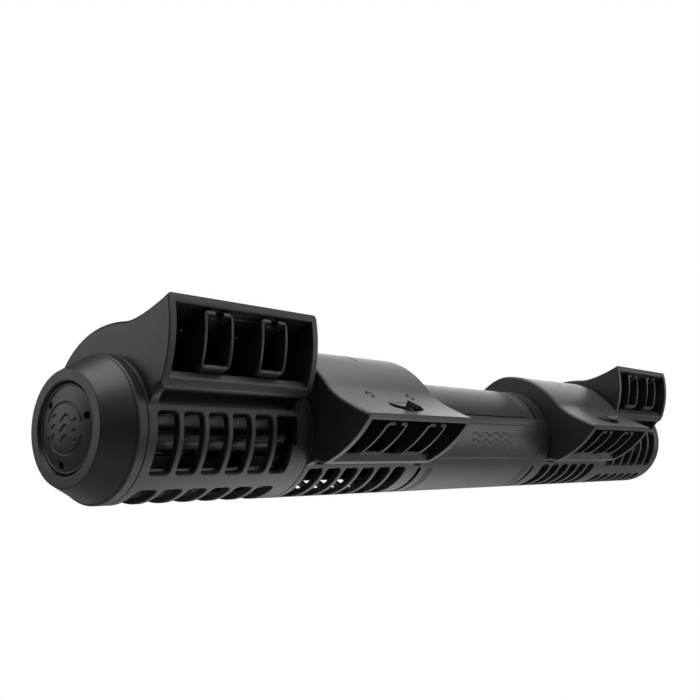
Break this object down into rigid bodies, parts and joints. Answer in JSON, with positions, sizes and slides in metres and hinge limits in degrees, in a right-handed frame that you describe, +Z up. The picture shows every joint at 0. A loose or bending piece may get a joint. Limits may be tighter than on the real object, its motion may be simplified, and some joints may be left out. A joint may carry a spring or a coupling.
{
  "type": "wave maker pump",
  "caption": "Long aquarium wave maker pump with a central motor, slotted intake cages, swivelling nozzles with steerable vanes, round end caps and a rear magnet mount.",
  "frame": {"origin": "middle of the rear pad's flat face, where the pump rests on the tank's glass", "axes": "+X along the pump, +Y into the glass, +Z up; the outlets blow towards -Y"},
  "size_m": [0.4312, 0.091, 0.0692],
  "materials": {
    "housing_plastic": "satin charcoal black, fine moulded texture",
    "vane_plastic": "satin black",
    "knob_plastic": "deeper black, fine texture",
    "impeller_plastic": "satin black",
    "rubber": "matte",
    "ceramic": "ground and polished",
    "magnet": "nickel plated",
    "core_steel": "stacked sheet, lacquered",
    "copper": "enamelled copper wire"
  },
  "bodies": {
    "motor": {"motor_housing": "housing_plastic", "front_plate": "housing_plastic", "mount_bracket": "housing_plastic", "left_mount_magnet": "magnet", "right_mount_magnet": "magnet", "mount_cover": "housing_plastic", "mount_pad": "rubber", "cable_gland": "rubber", "cable": "rubber", "left_inner_bush": "ceramic", "left_rotor_can": "housing_plastic", "left_can_seal": "rubber", "left_stator_core": "core_steel", "left_stator_winding": "copper", "left_collar": "housing_plastic", "right_inner_bush": "ceramic", "right_rotor_can": "housing_plastic", "right_can_seal": "rubber", "right_stator_core": "core_steel", "right_stator_winding": "copper", "right_collar": "housing_plastic"},
    "left_rotor": {"left_impeller": "impeller_plastic", "left_shaft": "ceramic", "left_magnet_carrier": "impeller_plastic", "left_rotor_magnet": "magnet"},
    "left_cap": {"left_end_cap": "housing_plastic", "left_cap_disc": "housing_plastic", "left_outer_bush": "ceramic"},
    "left_inner_unit": {"left_inner_cage": "housing_plastic", "left_inner_nozzle": "housing_plastic"},
    "left_inner_vane_a": {"left_inner_vane_a": "vane_plastic"},
    "left_inner_vane_b": {"left_inner_vane_b": "vane_plastic"},
    "left_inner_louver": {"left_inner_louver_link": "vane_plastic", "left_inner_louver_knob": "knob_plastic"},
    "left_outer_unit": {"left_outer_cage": "housing_plastic", "left_outer_nozzle": "housing_plastic"},
    "left_outer_vane_a": {"left_outer_vane_a": "vane_plastic"},
    "left_outer_vane_b": {"left_outer_vane_b": "vane_plastic"},
    "left_outer_louver": {"left_outer_louver_link": "vane_plastic", "left_outer_louver_knob": "knob_plastic"},
    "right_rotor": {"right_impeller": "impeller_plastic", "right_shaft": "ceramic", "right_magnet_carrier": "impeller_plastic", "right_rotor_magnet": "magnet"},
    "right_cap": {"right_end_cap": "housing_plastic", "right_cap_disc": "housing_plastic", "right_outer_bush": "ceramic"},
    "right_inner_unit": {"right_inner_cage": "housing_plastic", "right_inner_nozzle": "housing_plastic"},
    "right_inner_vane_a": {"right_inner_vane_a": "vane_plastic"},
    "right_inner_vane_b": {"right_inner_vane_b": "vane_plastic"},
    "right_inner_louver": {"right_inner_louver_link": "vane_plastic", "right_inner_louver_knob": "knob_plastic"},
    "right_outer_unit": {"right_outer_cage": "housing_plastic", "right_outer_nozzle": "housing_plastic"},
    "right_outer_vane_a": {"right_outer_vane_a": "vane_plastic"},
    "right_outer_vane_b": {"right_outer_vane_b": "vane_plastic"},
    "right_outer_louver": {"right_outer_louver_link": "vane_plastic", "right_outer_louver_knob": "knob_plastic"}
  },
  "joints": [
    {"name": "left_inner_swivel", "type": "hinge", "parent": "motor", "child": "left_inner_unit", "pos_m": [-0.0903, -0.038, 0], "axis": [-1, 0, 0], "range_deg": [-45, 90]},
    {"name": "left_inner_vane_a_pivot", "type": "hinge", "parent": "left_inner_unit", "child": "left_inner_vane_a", "pos_m": [-0.0773, -0.07375, 0.0151], "axis": [0, -0.3272, 0.9449], "range_deg": [-30, 30]},
    {"name": "left_inner_vane_b_pivot", "type": "hinge", "parent": "left_inner_unit", "child": "left_inner_vane_b", "pos_m": [-0.1033, -0.07375, 0.0151], "axis": [0, -0.3272, 0.9449], "range_deg": [-30, 30]},
    {"name": "left_inner_louver_crank", "type": "hinge", "parent": "left_inner_vane_a", "child": "left_inner_louver", "pos_m": [-0.0773, -0.08311, 0.00667], "axis": [0, -0.3272, 0.9449], "range_deg": [-30, 30]},
    {"name": "left_outer_swivel", "type": "hinge", "parent": "motor", "child": "left_outer_unit", "pos_m": [-0.16485, -0.038, 0], "axis": [-1, 0, 0], "range_deg": [-91.5, 43.5]},
    {"name": "left_outer_vane_a_pivot", "type": "hinge", "parent": "left_outer_unit", "child": "left_outer_vane_a", "pos_m": [-0.15185, -0.05166, 0.03633], "axis": [0, 0.4602, 0.8878], "range_deg": [-30, 30]},
    {"name": "left_outer_vane_b_pivot", "type": "hinge", "parent": "left_outer_unit", "child": "left_outer_vane_b", "pos_m": [-0.17785, -0.05166, 0.03633], "axis": [0, 0.4602, 0.8878], "range_deg": [-30, 30]},
    {"name": "left_outer_louver_crank", "type": "hinge", "parent": "left_outer_vane_a", "child": "left_outer_louver", "pos_m": [-0.15185, -0.06421, 0.03731], "axis": [0, 0.4602, 0.8878], "range_deg": [-30, 30]},
    {"name": "left_rotor_spin", "type": "hinge", "parent": "motor", "child": "left_rotor", "pos_m": [-0.126, -0.038, 0], "axis": [1, 0, 0], "continuous": true},
    {"name": "left_cap_twist", "type": "hinge", "parent": "left_outer_unit", "child": "left_cap", "pos_m": [-0.206, -0.038, 0], "axis": [1, 0, 0], "range_deg": [0, 30]},
    {"name": "right_inner_swivel", "type": "hinge", "parent": "motor", "child": "right_inner_unit", "pos_m": [0.0903, -0.038, 0], "axis": [-1, 0, 0], "range_deg": [-45, 90]},
    {"name": "right_inner_vane_a_pivot", "type": "hinge", "parent": "right_inner_unit", "child": "right_inner_vane_a", "pos_m": [0.0773, -0.07375, 0.0151], "axis": [0, -0.3272, 0.9449], "range_deg": [-30, 30]},
    {"name": "right_inner_vane_b_pivot", "type": "hinge", "parent": "right_inner_unit", "child": "right_inner_vane_b", "pos_m": [0.1033, -0.07375, 0.0151], "axis": [0, -0.3272, 0.9449], "range_deg": [-30, 30]},
    {"name": "right_inner_louver_crank", "type": "hinge", "parent": "right_inner_vane_a", "child": "right_inner_louver", "pos_m": [0.0773, -0.08311, 0.00667], "axis": [0, -0.3272, 0.9449], "range_deg": [-30, 30]},
    {"name": "right_outer_swivel", "type": "hinge", "parent": "motor", "child": "right_outer_unit", "pos_m": [0.16485, -0.038, 0], "axis": [-1, 0, 0], "range_deg": [-91.5, 43.5]},
    {"name": "right_outer_vane_a_pivot", "type": "hinge", "parent": "right_outer_unit", "child": "right_outer_vane_a", "pos_m": [0.15185, -0.05166, 0.03633], "axis": [0, 0.4602, 0.8878], "range_deg": [-30, 30]},
    {"name": "right_outer_vane_b_pivot", "type": "hinge", "parent": "right_outer_unit", "child": "right_outer_vane_b", "pos_m": [0.17785, -0.05166, 0.03633], "axis": [0, 0.4602, 0.8878], "range_deg": [-30, 30]},
    {"name": "right_outer_louver_crank", "type": "hinge", "parent": "right_outer_vane_a", "child": "right_outer_louver", "pos_m": [0.15185, -0.06421, 0.03731], "axis": [0, 0.4602, 0.8878], "range_deg": [-30, 30]},
    {"name": "right_rotor_spin", "type": "hinge", "parent": "motor", "child": "right_rotor", "pos_m": [0.126, -0.038, 0], "axis": [1, 0, 0], "continuous": true},
    {"name": "right_cap_twist", "type": "hinge", "parent": "right_outer_unit", "child": "right_cap", "pos_m": [0.206, -0.038, 0], "axis": [1, 0, 0], "range_deg": [0, 30]}
  ],
  "couplings": [
    {"joint": "left_inner_vane_b_pivot", "follows": "left_inner_vane_a_pivot", "ratio": 1},
    {"joint": "left_inner_louver_crank", "follows": "left_inner_vane_a_pivot", "ratio": -1},
    {"joint": "left_outer_vane_b_pivot", "follows": "left_outer_vane_a_pivot", "ratio": 1},
    {"joint": "left_outer_louver_crank", "follows": "left_outer_vane_a_pivot", "ratio": -1},
    {"joint": "right_inner_vane_b_pivot", "follows": "right_inner_vane_a_pivot", "ratio": 1},
    {"joint": "right_inner_louver_crank", "follows": "right_inner_vane_a_pivot", "ratio": -1},
    {"joint": "right_outer_vane_b_pivot", "follows": "right_outer_vane_a_pivot", "ratio": 1},
    {"joint": "right_outer_louver_crank", "follows": "right_outer_vane_a_pivot", "ratio": -1}
  ]
}
